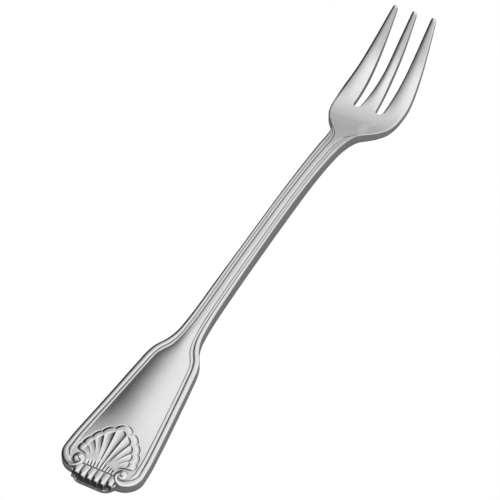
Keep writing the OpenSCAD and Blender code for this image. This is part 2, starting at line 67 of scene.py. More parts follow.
# %% [markdown]
# The photograph looks down the fork from the end of its handle, a little from the right, through a long
# lens. The camera is set by the point it looks at and the angles it looks from, which are easier to read
# than a matrix.

# %% Camera
view_azimuth = 27.83
view_elevation = 45.58
view_roll = 0.33
view_distance = 646.6
view_target = Vector((0, -5.96, 6.83))
view_lens = 214.9

around, above, tilt = (math.radians(a) for a in (view_azimuth, view_elevation, view_roll))
back = Vector((math.sin(around) * math.cos(above), -math.cos(around) * math.cos(above), math.sin(above)))
level = Vector((math.cos(around), math.sin(around), 0))
right = level * math.cos(tilt) + back.cross(level) * math.sin(tilt)
lens = bpy.data.cameras.new("camera")
lens.lens = view_lens
lens.clip_start, lens.clip_end = 0.01, 100
camera = bpy.data.objects.new("camera", lens)
camera.matrix_world = Matrix.Translation((view_target + back * view_distance) * MM) @ Matrix(
    (right, back.cross(right), back)).transposed().to_4x4()
bpy.context.scene.collection.objects.link(camera)
bpy.context.scene.camera = camera
print("the camera stands", view_distance, "mm away")

# %% [markdown]
# Every tree of nodes below, for shaders and for geometry, is built with this one small function.
# It adds a node, sets its properties and fills or links its inputs.

# %% A node with its settings and links
def add(tree, kind, inputs=None, **settings):
    node = tree.nodes.new(kind)
    for name, value in settings.items():
        setattr(node, name, value)
    for key, value in (inputs or {}).items():
        if isinstance(value, bpy.types.NodeSocket):
            tree.links.new(value, node.inputs[key])
        else:
            node.inputs[key].default_value = value
    return node


def linear(hex_colour):
    """A colour written as sRGB hex, as linear red, green, blue and alpha."""
    parts = [int(hex_colour[i:i + 2], 16) / 255 for i in (1, 3, 5)]
    return [c / 12.92 if c <= 0.04045 else ((c + 0.055) / 1.055) ** 2.4 for c in parts] + [1]


# %% [markdown]
# Polished metal looks like what stands round it, so the light matters more here than the material.
# The studio is one white tent over the fork, more than twice as bright overhead as at its foot. Its side
# toward the camera is open and dark. A dark flag on the left draws the dark left edges and the broad
# gradient across the handle. Both fade over a range of the direction's x or y, which run from -1 to 1.
# Where the camera looks past the floor, it sees plain white.

# %% Studio light
studio = bpy.data.worlds.new("studio tent")
studio.use_nodes = True
bpy.context.scene.world = studio
sky = studio.node_tree
sky.nodes.clear()
flag_from, flag_to = -0.515, -0.265
open_from, open_to = -0.85, -0.15
foot_level, top_level = 0.5, 1.2
darkest = 0.03
toward = add(sky, "ShaderNodeTexCoord")
along = add(sky, "ShaderNodeSeparateXYZ", {0: toward.outputs["Generated"]})
unflagged = add(sky, "ShaderNodeMapRange", {
    "Value": along.outputs["X"], "From Min": flag_from, "From Max": flag_to},
    interpolation_type="SMOOTHSTEP")
closed = add(sky, "ShaderNodeMapRange", {
    "Value": along.outputs["Y"], "From Min": open_from, "From Max": open_to},
    interpolation_type="SMOOTHSTEP")
fabric = add(sky, "ShaderNodeMapRange", {
    "Value": along.outputs["Z"], "To Min": foot_level, "To Max": top_level})
lit_fabric = add(sky, "ShaderNodeMath", {
    0: fabric.outputs["Result"], 1: closed.outputs["Result"]}, operation="MULTIPLY")
strength = add(sky, "ShaderNodeMath", {
    0: unflagged.outputs["Result"], 1: lit_fabric.outputs[0], 2: darkest}, operation="MULTIPLY_ADD")
tent = add(sky, "ShaderNodeBackground", {"Color": linear("#ffffff"), "Strength": strength.outputs["Value"]})
beyond = add(sky, "ShaderNodeBackground", {"Color": linear("#ffffff"), "Strength": 1})
by_ray = add(sky, "ShaderNodeLightPath")
seen_sky = add(sky, "ShaderNodeMixShader", {
    0: by_ray.outputs["Is Camera Ray"], 1: tent.outputs["Background"], 2: beyond.outputs["Background"]})
add(sky, "ShaderNodeOutputWorld", {"Surface": seen_sky.outputs[0]})
print("the tent goes from", foot_level, "at its foot to", top_level, "overhead")

# %% [markdown]
# The fork lies on a plain floor. The photograph's background is pure white, so the floor shows white
# where the camera looks at it. The steel mirrors the floor's lit colour, with the fork's own shadow, and
# only a small share of the white: the side walls of the real fork are dark grey in the photograph, and
# with a share of 1 they would vanish against the background.

# %% Floor
floor_size = 4000
white_in_steel = 0.07
floor_coat = bpy.data.materials.new("plain pale floor")
floor_coat.use_nodes = True
nodes = floor_coat.node_tree
nodes.nodes.clear()
ray = add(nodes, "ShaderNodeLightPath").outputs
mirrored = add(nodes, "ShaderNodeMath", {
    0: ray["Is Glossy Ray"], 1: ray["Is Transmission Ray"]}, operation="MAXIMUM")
white = add(nodes, "ShaderNodeMath", {
    0: mirrored.outputs[0], 1: white_in_steel, 2: ray["Is Camera Ray"]},
    operation="MULTIPLY_ADD", use_clamp=True)
lit = add(nodes, "ShaderNodeBsdfDiffuse", {"Color": linear("#949492")})
plain_white = add(nodes, "ShaderNodeEmission", {"Color": linear("#ffffff"), "Strength": 1})
both = add(nodes, "ShaderNodeMixShader", {
    0: white.outputs[0], 1: lit.outputs[0], 2: plain_white.outputs[0]})
add(nodes, "ShaderNodeOutputMaterial", {"Surface": both.outputs[0]})
half = floor_size / 2 * MM
floor_corners = [(-half, -half, 0), (half, -half, 0), (half, half, 0), (-half, half, 0)]
floor_mesh = bpy.data.meshes.new("floor")
floor_mesh.from_pydata(floor_corners, [], [(0, 1, 2, 3)])
floor_mesh.materials.append(floor_coat)
floor = bpy.data.objects.new("floor", floor_mesh)
bpy.context.scene.collection.objects.link(floor)
print("the floor is", floor_size, "mm wide")

# %% [markdown]
# The fork is 18/10 stainless steel, forged, ground and then buffed to a mirror on a wheel.
# A buffed mirror is never quite even: it keeps a faint haze, hair-fine polishing marks along the fork,
# and a slow waviness that bends the reflections. Each is a node pattern with its size in millimetres.
# Real polishing marks are finer than these, which are drawn coarse enough to show.

# %% Polished stainless steel
steel = bpy.data.materials.new("buffed stainless steel")
steel.use_nodes = True
nodes = steel.node_tree
nodes.nodes.clear()
mark_pitch, mark_length, mark_depth, mark_strength = 0.12, 6, 0.01, 0.05
wave_size, wave_depth, wave_strength = 5, 0.2, 0.06
noise_low, noise_high = 0.3, 0.7
least_haze, most_haze = 0.13, 0.19
spot = add(nodes, "ShaderNodeTexCoord")
stretched = add(nodes, "ShaderNodeMapping", {
    "Vector": spot.outputs["Object"],
    "Scale": (1 / (mark_pitch * MM), 1 / (mark_length * MM), 1 / (mark_pitch * MM))})
marks = add(nodes, "ShaderNodeTexNoise", {"Vector": stretched.outputs[0], "Scale": 1, "Detail": 2})
waves = add(nodes, "ShaderNodeTexNoise", {
    "Vector": spot.outputs["Object"], "Scale": 1 / (wave_size * MM), "Detail": 1})
haze = add(nodes, "ShaderNodeMapRange", {
    "Value": marks.outputs["Fac"], "From Min": noise_low, "From Max": noise_high,
    "To Min": least_haze, "To Max": most_haze})
tone = add(nodes, "ShaderNodeMix", {
    "Factor": waves.outputs["Fac"], "A": linear("#d6d7d8"), "B": linear("#dcdcdb")}, data_type="RGBA")
wavy = add(nodes, "ShaderNodeBump", {
    "Height": waves.outputs["Fac"], "Strength": wave_strength, "Distance": wave_depth * MM})
scored = add(nodes, "ShaderNodeBump", {
    "Height": marks.outputs["Fac"], "Strength": mark_strength, "Distance": mark_depth * MM,
    "Normal": wavy.outputs[0]})
mirror = add(nodes, "ShaderNodeBsdfPrincipled", {
    "Base Color": tone.outputs["Result"], "Metallic": 1, "Roughness": haze.outputs["Result"],
    "Normal": scored.outputs[0]})
add(nodes, "ShaderNodeOutputMaterial", {"Surface": mirror.outputs[0]})
print("the steel is waved every", wave_size, "mm and marked every", mark_pitch, "mm")

# %% [markdown]
# The fork's outline, its arch and its thickness are smooth curves through a few measured places.
# The same small cubic serves all of them: it passes through every knot and keeps one slope there.
# Between two named places the knots are shares, (how far along, how much of the change), as on a template.

# %% Curves through knots
def curve(knots, at):
    """Values of the smooth curve through the knots, which are pairs of a place and a value."""
    y, v = np.array(knots, float).T
    h = np.diff(y)
    s = np.diff(v) / h
    m = np.empty(len(y))
    m[0], m[-1] = s[0], s[-1]
    m[1:-1] = (h[:-1] * s[1:] + h[1:] * s[:-1]) / (h[:-1] + h[1:])
    i = np.clip(np.searchsorted(y, at, "right") - 1, 0, len(h) - 1)
    t = (at - y[i]) / h[i]
    u = 1 - t
    between_knots = v[i] * u * u * (1 + 2 * t) + v[i + 1] * t * t * (1 + 2 * u)
    return between_knots + h[i] * t * u * (u * m[i] - t * m[i + 1])


def blend(a, b, share):
    return a + (b - a) * share


def zone(shares, y0, y1, v0, v1):
    """Knots between two named places, from shares of the way and of the change."""
    return [(blend(y0, y1, s), blend(v0, v1, t)) for s, t in shares]


def smooth(y0, y1, at):
    """Rises smoothly from 0 at y0 to 1 at y1."""
    t = np.clip((at - y0) / (y1 - y0), 0, 1)
    return t * t * (3 - 2 * t)


# %% [markdown]
# Places along the fork are counted from the end of the handle, in millimetres, and read from the frame.
# The few sizes that no box of a node shows are written out. The end of a name says what it measures:
# _y is a place along the fork, _x one across it, and _l a length, mostly from the handle's end. _w is a
# whole width, _t a thickness, _r a radius, _h a height above a face, and _top or _z one above the table.

# %% Places and sizes
def place(node, end):
    return round((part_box(node)[end][1] - cad_low.y) / MM, 2)


def width(node):
    return round(2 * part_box(node)[1][0] / MM, 2)


corner_l, stem_y, neck_y, head_y = (place(n, 0) for n in ("handle_plate", "stem", "neck", "head"))
root_y, fork_l = place("middle_tine", 0), place("middle_tine", 1)
ground_l, handle_l = place("shell_ground", 1), 35.6
arch_y, wide_y = root_y - 40, root_y + 4
handle_w, head_w = width("handle_plate"), width("right_tine")
shoulder_w, stem_root_w, stem_w, neck_w, tips_w = 11.7, 5.06, 4.06, 4.34, 11
slot_w, middle_w, tip_w = 1.75, 3.9, 1.2
end_top, ground_top, arch_top, palm_top, tip_top = 1.9, 3.13, 7.97, 1.5, 12.9
heel_t, handle_t, stem_t, neck_t, tine_t, tip_t = 2.6, 2.35, 3.1, 2.3, 2.05, 1.1
rest_l, relief_h = 5, 0.6
print("regions start at", corner_l, stem_y, neck_y, head_y, root_y, "mm")

# %% [markdown]
# Along a forging the heights and widths change gently. Each turns into the next over a stretch of the
# fork, and the function smooth takes the two ends of that stretch. Most of them are named here, in the
# order in which they begin.

# %% Stretches where one form turns into the next
corner_stretch = corner_l, corner_l + 4
crown_begins = corner_l, ground_l + 6
ground_to_panel = 10, ground_l
shoulder = handle_l, stem_y
stem_begins = handle_l + 2, stem_y
stem_rounds = handle_l + 2, stem_y + 2
neck_stretch = neck_y, head_y
crown_ends = neck_y + 2, head_y
stem_ends = neck_y + 8, head_y
moulding_levels = neck_y + 8, head_y - 2
panel_to_palm = neck_y + 8, head_y + 1
thread_ends = head_y - 7, head_y - 1
columns_gather = neck_y + 10, head_y + 3
palm_rounds = neck_y + 12, head_y + 3
tines_crown = root_y - 1, root_y + 6
print("the stem begins over", stem_begins, "and ends over", stem_ends)

# %% [markdown]
# The outline, the top and the underside follow from knots. The line of the mouldings' tops runs on into
# the palm and the tines, so the heights are counted from it. The flat that the handle rests on is at the
# table.

# %% Outline, top face, thickness and dip
half_knots = [
    (corner_l, handle_w / 2),
    *zone([(0.12, 0.05), (0.23, 0.155), (0.43, 0.36), (0.635, 0.57), (0.84, 0.785), (1, 1)],
          corner_l, handle_l, handle_w / 2, shoulder_w / 2),
    *zone([(0.107, 0.115), (0.196, 0.27), (0.286, 0.46), (0.375, 0.615), (0.464, 0.735), (0.64, 0.885),
           (0.82, 0.955), (1, 1)], handle_l, stem_y, shoulder_w / 2, stem_root_w / 2),
    *zone([(0.26, 0.56), (0.45, 0.78), (0.64, 0.92), (1, 1)], stem_y, arch_y, stem_root_w / 2, stem_w / 2),
    *zone([(0.5, 0.25), (1, 1)], arch_y, neck_y, stem_w / 2, neck_w / 2),
    *zone([(0.19, 0.024), (0.32, 0.053), (0.386, 0.082), (0.451, 0.126), (0.484, 0.166), (0.516, 0.231),
           (0.549, 0.344), (0.582, 0.465), (0.614, 0.582), (0.647, 0.68), (0.71, 0.83), (0.81, 0.952),
           (0.908, 0.992), (1, 1)], neck_y, wide_y, neck_w / 2, head_w / 2),
    *zone([(0.07, 0.02), (0.157, 0.085), (0.3, 0.215), (0.45, 0.36), (0.6, 0.52), (0.745, 0.69),
           (0.89, 0.855), (1, 1)], wide_y, fork_l, head_w / 2, tips_w / 2)]
top_knots = [
    (0, end_top), (ground_l, ground_top),
    *zone([(0.2, 0.265), (0.37, 0.54), (0.49, 0.69), (0.63, 0.82), (0.77, 0.91), (0.9, 0.975), (1, 1)],
          ground_l, arch_y, ground_top, arch_top),
    *zone([(0.15, 0.014), (0.35, 0.088), (0.45, 0.158), (0.53, 0.235), (0.6, 0.34), (0.68, 0.495),
           (0.755, 0.655), (0.83, 0.81), (0.9, 0.93), (1, 1)], arch_y, root_y, arch_top, palm_top),
    *zone([(0.09, 0.007), (0.21, 0.043), (0.335, 0.112), (0.46, 0.218), (0.58, 0.36), (0.7, 0.53),
           (0.825, 0.722), (1, 1)], root_y, fork_l, palm_top, tip_top)]
thin_shares = [(0.35, 0.42), (0.6, 0.68), (1, 1)]
thick_knots = [
    (rest_l, end_top + (ground_top - end_top) / ground_l * rest_l), (ground_l, heel_t),
    (handle_l, handle_t),
    *zone(thin_shares, handle_l, arch_y - stem_y + handle_l, handle_t, stem_t), (arch_y, stem_t),
    *zone(thin_shares, arch_y, head_y, stem_t, neck_t), (root_y, palm_top),
    *zone([(0.45, 1), (0.7, 0.8)], root_y, fork_l, palm_top, tine_t), (fork_l, tip_t)]
palm_dip = 0.06
dip_knots = [(neck_y, 0), (head_y, 0), *zone([(0.5, 0.6), (1, 1)], head_y, root_y, 0, palm_dip),
             (wide_y, palm_dip), (fork_l, 0.3 * palm_dip)]
print("the outline has", len(half_knots), "knots and the top face", len(top_knots))


def top_z(y):
    """Height of the mouldings' tops, the palm and the tines."""
    straight = end_top + (ground_top - end_top) / ground_l * y
    return np.where(y < ground_l, straight, curve(top_knots, y))


def under_z(y):
    """Height of the underside."""
    return np.where(y < rest_l, 0, np.maximum(0, top_z(y) - curve(thick_knots, y)))


# %% [markdown]
# The end of the handle is two round corners with a lobe between them. Both are arcs, so rows of the mesh
# are laid at even steps of the arcs' angles, which keeps the round parts round.

# %% Outline of the handle's end
corner_r, lobe_w, lobe_r = 4.2, 10.2, 2.6
corner_x, lobe_x = handle_w / 2 - corner_r, lobe_w / 2 - lobe_r


def half_w(y):
    """Half the width of the outline."""
    lobe = lobe_x + np.sqrt(np.maximum(0, lobe_r ** 2 - (lobe_r - y) ** 2))
    corner = corner_x + np.sqrt(np.maximum(0, corner_r ** 2 - (corner_l - y) ** 2))
    end = np.where(y < corner_l - corner_r, lobe, corner)
    return np.where(y < corner_l, end, curve(half_knots, y))


def arc_places(radius, last_angle, count):
    return [radius * (1 - math.cos(math.radians(last_angle) * i / count)) for i in range(count + 1)]


# %% [markdown]
# An outer moulding and an inner thread run along both sides and leave a crowned panel between them.
# Their widths change along the fork: broad on the handle, narrow on the stem, and nothing at the palm.

# %% Widths of the moulding and the thread
border_w, stem_border_w, bead_w, stem_bead_w = 1.4, 0.7, 0.85, 0.66
corner_border_w, root_border_w, neck_border_w = 0.87 * border_w, 1.0, 0.84
corner_bead_w, shoulder_bead_w = 1.15 * bead_w, 0.87 * bead_w
handle_border_knots = [
    (corner_l, corner_border_w),
    *zone([(0.35, 0.1), (0.8, 0.75), (1, 1)], corner_l, handle_l, corner_border_w, border_w)]
border_knots = [
    (handle_l, border_w),
    *zone([(0.1, -0.12), (0.2, -0.33), (0.37, 0.05), (0.64, 0.7), (1, 1)], handle_l, stem_y, border_w,
          root_border_w),
    *zone([(0.2, 0.5), (0.35, 0.93), (0.7, 1)], stem_y, neck_y, root_border_w, stem_border_w),
    (neck_y, neck_border_w),
    *zone([(0.37, -0.08), (0.74, 0), (0.81, 0.15), (0.86, 0.42), (0.9, 0.65), (1, 1)], neck_y, head_y,
          neck_border_w, 0)]
handle_bead_knots = [
    (corner_l, corner_bead_w),
    *zone([(0.35, 0.3), (0.8, 0.88), (1, 1)], corner_l, handle_l, corner_bead_w, shoulder_bead_w)]
bead_knots = [
    (handle_l, shoulder_bead_w),
    *zone([(0.05, -2.2), (0.1, -3.2), (0.2, -3.8), (0.3, -2.4), (0.4, -0.8), (0.64, 1.1), (1, 1.4)],
          handle_l, stem_y, shoulder_bead_w, stem_bead_w),
    *zone([(0.3, 1), (1, 1)], stem_y, neck_y, stem_bead_w, stem_bead_w),
    *zone([(0.74, 0), (0.86, 0.12), (0.9, 0.3), (1, 1)], neck_y, head_y, stem_bead_w, 0)]


def band_w(handle_part, stem_part, y):
    """Width of a band. Its two parts meet in a slight angle at the handle's shoulder."""
    on_handle = curve(handle_part, np.minimum(y, handle_l))
    past_handle = curve(stem_part, np.maximum(y, handle_l))
    w = np.where(y < handle_l, on_handle, past_handle)
    return np.where(y < head_y, np.maximum(0, w), 0)


def groove_x(y):
    """Place of the groove between the moulding and the thread."""
    return half_w(y) - band_w(handle_border_knots, border_knots, y)


def panel_x(y):
    """Place of the panel's edge, on the inner side of the thread."""
    return groove_x(y) - band_w(handle_bead_knots, bead_knots, y)


# %% [markdown]
# The forging itself is one closed mesh. It could be a subdivided cage, but its lines are measured ones,
# so it is lofted: each row is a loop round the fork, with the same number of points in every loop.
# The columns are even along the handle and the stem, and gather round the slots on the head.
# Near the slots the rows bend round their U-shaped roots, so the roots are true arcs of the mesh.

# %% Columns across the top and the underside
middle_columns, slot_columns, outer_columns = 6, 8, 10
all_columns = middle_columns + slot_columns + outer_columns
slot_r = slot_w / 2
slot_x = (middle_w + slot_w) / 2
fork_y = root_y + slot_r
slot_edge_r, low_edge_r = 0.12, 0.16
slot_angles = np.linspace(math.pi, 2 * math.pi, slot_columns + 1)


def even_columns(edge):
    return edge * np.arange(all_columns + 1) / all_columns


def head_columns(edge):
    arc = slot_r + slot_edge_r
    middle = (slot_x - arc) * np.arange(middle_columns) / middle_columns
    slot = slot_x + arc * np.cos(slot_angles)
    outer = slot_x + arc + (edge - slot_x - arc) * np.arange(1, outer_columns + 1) / outer_columns
    return np.concatenate([middle, slot, outer])


def slot_bend():
    """How far each column is held back along the fork by the slot's round root."""
    bend = np.zeros(all_columns + 1)
    bend[middle_columns:middle_columns + slot_columns + 1] = -(slot_r + slot_edge_r) * np.sin(slot_angles)
    return bend


# %% Height of the top face across the fork
ledge_l, ledge_z, ledge_half_w, ledge_margin = 0.9, 0.75, 3, 0.5
shell_y, ground_h, panel_share = 3.8, 0.5, 0.93
ground_share = ground_h / relief_h
scroll_x, scroll_y, scroll_r = 5.05, 4.3, 1.6
crown_share, stem_crown_share = 0.05, 0.02
tine_crown = 0.1
middle_knots = [
    (fork_y, middle_w / 2),
    *zone([(0.18, 0.22), (0.38, 0.5), (0.79, 0.76), (1, 1)], root_y, fork_l, middle_w / 2, tip_w / 2)]
inner_knots = [
    (fork_y, slot_x + slot_r),
    *zone([(0.18, 0.04), (0.38, 0.23), (0.79, 0.66), (1, 1)], root_y, fork_l, slot_x + slot_r,
          tips_w / 2 - tip_w)]


def face_share(y):
    """Height of the ground, the panel or the palm, as a share of the mouldings' height."""
    ground = blend(ground_share, panel_share, smooth(*ground_to_panel, y))
    return np.where(y < shell_y, 0, ground) + (1 - panel_share) * smooth(*panel_to_palm, y)


def face_z(x, y):
    """Height of the ledge, the ground, the panel, the palm or a tine."""
    x = np.abs(x)
    seat = top_z(y) - relief_h
    s = np.minimum(1, x / panel_x(y))
    share = blend(crown_share, stem_crown_share, smooth(*stem_rounds, y))
    crown = share * panel_x(y) * smooth(*crown_begins, y) * (1 - smooth(*crown_ends, y))
    dip = np.where(y > head_y, curve(dip_knots, np.maximum(y, neck_y)) * (1 - (x / half_w(y)) ** 2), 0)
    inner, middle = curve(inner_knots, np.maximum(y, fork_y)), curve(middle_knots, np.maximum(y, fork_y))
    across = np.where(x < (inner + middle) / 2, x / middle, 2 * (x - inner) / (half_w(y) - inner) - 1)
    round_off = tine_crown * smooth(*tines_crown, y) * np.minimum(1, across ** 2)
    z = seat + relief_h * face_share(y) + crown * (1 - s * s) - dip - round_off
    return np.where(y < ledge_l, ledge_z, z)


# %% [markdown]
# Each row turns over a small round at the edge of the face, steps down to the seat of the threads,
# goes out to the side, down the wall and round to the underside. On the head the seat closes up
# into the wall, so the same points carry on along the tines.

# %% Edge of a row
face_round_steps, seat_steps, low_round_steps = 4, 4, 4
round_angles = np.radians(np.linspace(0, 90, face_round_steps + 1))[1:]
low_angles = np.radians(np.linspace(0, 90, low_round_steps + 1))
edge_r, stem_edge_more, palm_edge_more = 0.1, 0.3, 0.18
moulding_cover, thread_cover_w, cover_loss = 0.87, 0.2, 0.5
seat_end_y, head_step_h = head_y - 1, 0.45
from_moulding_to_thread = scroll_y + scroll_r, scroll_y + scroll_r + 4


def face_edge(y):
    """Edge of the panel or the ground, hidden under the thread or the moulding, and its rounding."""
    under_moulding = half_w(y) - moulding_cover * corner_border_w
    cover = 1 - cover_loss * smooth(*stem_begins, y) - cover_loss * smooth(*neck_stretch, y)
    under_thread = panel_x(y) + thread_cover_w * cover
    out = smooth(*from_moulding_to_thread, y)
    x = (1 - out) * under_moulding + out * under_thread
    on_stem = smooth(*stem_rounds, y) * (1 - smooth(*stem_ends, y))
    r = edge_r + stem_edge_more * on_stem + palm_edge_more * smooth(*palm_rounds, y)
    on_ledge = np.minimum(ledge_half_w, half_w(y) - ledge_margin)
    return np.where(y < shell_y, on_ledge, x), np.where(y < shell_y, 0, r)


def side_points(y):
    """Points from the end of the face round the side to the underside, as x and z."""
    x_face, r = face_edge(y)
    w, low_r = half_w(y), low_edge_r
    z_face, seat = face_z(x_face, y), top_z(y) - relief_h
    on_handle = np.where(y < ledge_l, ledge_z, seat)
    seat = np.where(y > seat_end_y, np.minimum(seat, z_face - head_step_h), on_handle)
    low = under_z(y)
    points = [(x_face - r + r * math.sin(a), z_face - r + r * math.cos(a)) for a in round_angles]
    points += [(x_face + (w - x_face) * i / seat_steps, seat) for i in range(seat_steps + 1)]
    points += [(w - low_r + low_r * math.cos(a), low + low_r - low_r * math.sin(a)) for a in low_angles]
    return points


# %% Rows along the fork
ledge_step, least_gap, last_gap = 0.01, 0.05, 0.1
fine_step, stem_step, neck_step, slot_step = 0.25, 0.75, 0.4, 0.18
fine_l, slots_from = 46, 110
lobe_angle, lobe_steps, corner_steps = 72, 12, 24
corner_from = corner_l - corner_r
end_rows = [y for y in arc_places(lobe_r, lobe_angle, lobe_steps)
            if abs(y - ledge_l) > least_gap and y < corner_from - least_gap]
corner_rows = [corner_from + y for y in arc_places(corner_r, 90, corner_steps)]
rows = sorted([
    *end_rows, ledge_l - ledge_step, ledge_l, *corner_rows, shell_y - ledge_step, shell_y, handle_l,
    *np.arange(corner_l + fine_step, fine_l, fine_step), *np.arange(fine_l, neck_y, stem_step),
    *np.arange(neck_y, slots_from, neck_step),
    *np.arange(slots_from, fork_y - last_gap, slot_step), fork_y])
rows_bend = fork_y - 3.5, fork_y


def half_row(y):
    """Right half of one row, from the top centre round to the centre underneath: x, y and z."""
    x_face, r = face_edge(y)
    gathered = smooth(*columns_gather, y)
    top, low = [(1 - gathered) * even_columns(edge) + gathered * head_columns(edge)
                for edge in (x_face - r, half_w(y) - low_edge_r)]
    at = y - smooth(*rows_bend, y) * slot_bend()
    points = [(x, v, z) for x, v, z in zip(top, at, face_z(top, at))]
    points += [(x, y, z) for x, z in side_points(y)]
    points += [(x, v, z) for x, v, z in zip(low[::-1][1:], at[::-1][1:], under_z(at[::-1][1:]))]
    return np.array(points, float)


def whole_row(y):
    """One row all round: the right half and its mirror image."""
    half_points = half_row(y)
    left_points = half_points[-2:0:-1] * (-1, 1, 1)
    return np.concatenate([half_points, left_points])


body_loops = [whole_row(y) for y in rows]
print("the forging has", len(rows), "rows of", len(body_loops[0]), "points")

# %% [markdown]
# Past the roots of the slots the fork splits into three tines, each with its own loops.
# They start on the last row's own points, so the mesh stays one closed skin.
# A tine narrows in both directions over its last half millimetre, which rounds the tip.

# %% Loops along the tines
tip_r, tip_end_share = 0.55, 0.5
tip_angles, tine_step = (0, 22, 45, 68, 90), 0.35
slot_round = np.radians(np.linspace(0, 90, 4))[1:]


def slot_wall(x, toward_slot, top, low):
    """Points down a wall that faces a slot, between its two rounded edges."""
    r = slot_edge_r
    edge = [(x - toward_slot * r * (1 - math.sin(a)), r * (1 - math.cos(a))) for a in slot_round]
    return [(out, top - drop) for out, drop in edge] + [(out, low + drop) for out, drop in edge[::-1]]


def tine_loop(y, outer):
    """Loop round one tine, the right outer one or the middle one."""
    r = slot_edge_r
    if outer:
        columns = np.arange(outer_columns + 1) / outer_columns
        x0 = float(curve(inner_knots, y))
        x_face, face_r = face_edge(y)
        top = x0 + r + (x_face - face_r - x0 - r) * columns
        low = x0 + r + (half_w(y) - low_edge_r - x0 - r) * columns
        wall = slot_wall(x0, -1, float(face_z(x0 + r, y)), float(under_z(y)))
        points = [(x, z) for x, z in zip(top, face_z(top, y))] + side_points(y)
        points += [(x, float(under_z(y))) for x in low[::-1][1:]] + wall[::-1]
        mid = (x0 + float(half_w(y))) / 2
    else:
        columns = np.linspace(0, 1, middle_columns + 1)
        x1 = float(curve(middle_knots, y))
        top = (x1 - r) * columns
        wall = slot_wall(x1, 1, float(face_z(x1 - r, y)), float(under_z(y)))
        right_points = [(x, z) for x, z in zip(top, face_z(top, y))] + wall
        right_points += [(x, float(under_z(y))) for x in top[::-1]]
        points = right_points + [(-x, z) for x, z in right_points[-2:0:-1]]
        mid = 0
    points = np.array(points, float)
    d = max(0, y - fork_l + tip_r) / tip_r
    keep = tip_end_share + (1 - tip_end_share) * math.sqrt(max(0, 1 - d * d))
    centre = np.array([mid, points[:, 1].mean()])
    points = centre + (points - centre) * keep
    return np.column_stack([points[:, 0], np.full(len(points), y), points[:, 1]])


tine_rows = [*np.arange(fork_y, fork_l - tip_r, tine_step),
             *(fork_l - tip_r + tip_r * math.sin(math.radians(a)) for a in tip_angles)]
print("each tine has", len(tine_rows), "loops")

# %% Skin over the loops
doubles_within = 0.0005


class Skin:
    """Collects points and faces of one mesh, in millimetres from the end of the handle."""

    def __init__(self):
        self.points, self.faces = [], []

    def loop(self, points):
        first = len(self.points)
        self.points.extend(map(tuple, points))
        return list(range(first, len(self.points)))

    def join(self, a, b, closed=True):
        """Quads between two rows of points. Where the rows share a point, the quad becomes a triangle."""
        n = len(a)
        for i in range(n if closed else n - 1):
            j = (i + 1) % n
            self.faces.append(tuple(dict.fromkeys((a[i], a[j], b[j], b[i]))))

    def loft(self, loops):
        ids = [self.loop(loop) for loop in loops]
        for a, b in zip(ids, ids[1:]):
            self.join(a, b)
        return ids

    def mesh(self, name, sharp=35):
        mesh = bpy.data.meshes.new(name)
        metres = (np.array(self.points) + (0, cad_low.y / MM, 0)) * MM
        mesh.from_pydata(metres.tolist(), [], self.faces)
        return closed_and_smooth(mesh, sharp)


def closed_and_smooth(mesh, sharp):
    """Merges doubles, points the faces outwards and shades smooth, with creases past the sharp angle."""
    work = bmesh.new()
    work.from_mesh(mesh)
    bmesh.ops.remove_doubles(work, verts=work.verts, dist=doubles_within * MM)
    bmesh.ops.dissolve_degenerate(work, edges=work.edges, dist=doubles_within * MM)
    bmesh.ops.recalc_face_normals(work, faces=work.faces)
    open_edges = sum(not e.is_manifold for e in work.edges)
    print(mesh.name, "has", len(work.faces), "faces and", open_edges, "open edges")
    work.to_mesh(mesh)
    work.free()
    mesh.shade_smooth()
    mesh.set_sharp_from_angle(angle=math.radians(sharp))
    return mesh


def finished(mesh, *nodes):
    """Makes an object of a finished mesh. It rides on the fork and stands for those nodes."""
    piece = bpy.data.objects.new(mesh.name, mesh)
    bpy.context.scene.collection.objects.link(piece)
    if not mesh.materials:
        mesh.materials.append(steel)
    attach(piece, "root")
    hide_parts(*nodes)


# %% [markdown]
# The U-shaped walls at the slots' roots join the top face to the underside. Each is an arc of the slot's
# own radius, with the same rounded edges as the tines' walls, so they meet them point for point.

# %% The forged body
body = Skin()
body_ids = body.loft(body_loops)
body.faces.append(tuple(body_ids[0]))
last_row, last_half = body_ids[-1], half_row(fork_y)
half_count = len(last_half)


def point_of(side, index):
    """A point of the last row, or on the left side its mirror image."""
    return last_row[index if side > 0 else (2 * half_count - 2 - index) % (2 * half_count - 2)]


def root_wall(side):
    """Strips down the round root of a slot, from the top face to the underside."""
    strips = []
    for k, angle in enumerate(slot_angles):
        column = middle_columns + k
        under = half_count - 1 - column
        wall = slot_wall(slot_r, -1, last_half[column][2], last_half[under][2])
        ids = body.loop([(side * (slot_x + reach * math.cos(angle)), fork_y + reach * math.sin(angle), z)
                         for reach, z in wall])
        strips.append([point_of(side, column), *ids, point_of(side, under)])
    for a, b in zip(strips, strips[1:]):
        body.join(a, b, closed=False)


for side in (1, -1):
    root_wall(side)
    outer_loops = [tine_loop(y, True) * (side, 1, 1) for y in tine_rows]
    body.faces.append(tuple(body.loft(outer_loops)[-1]))
middle_loops = [tine_loop(y, False) for y in tine_rows]
body.faces.append(tuple(body.loft(middle_loops)[-1]))
finished(body.mesh("forged_body"), "handle_end", "handle_plate", "stem", "neck", "head", "left_tine",
         "middle_tine", "right_tine", "panel", "shell_ground")

# %% [markdown]
# Mouldings and threads are one section swept along a path, so Geometry Nodes make them.
# The path is a line of points that carry how wide and how high the section is there, and which way is
# across. The section is a superellipse: a squareness of 2 gives a round thread, and more gives a flat one
# with narrow round edges. Its top falls away from a crest, which lies towards the inner side. The fall is
# slow at first and then fast, as the fourth power of the distance from the crest, and the path says by
# how much. The arithmetic is a list of steps, each with its name, an operation, and two numbers or names.

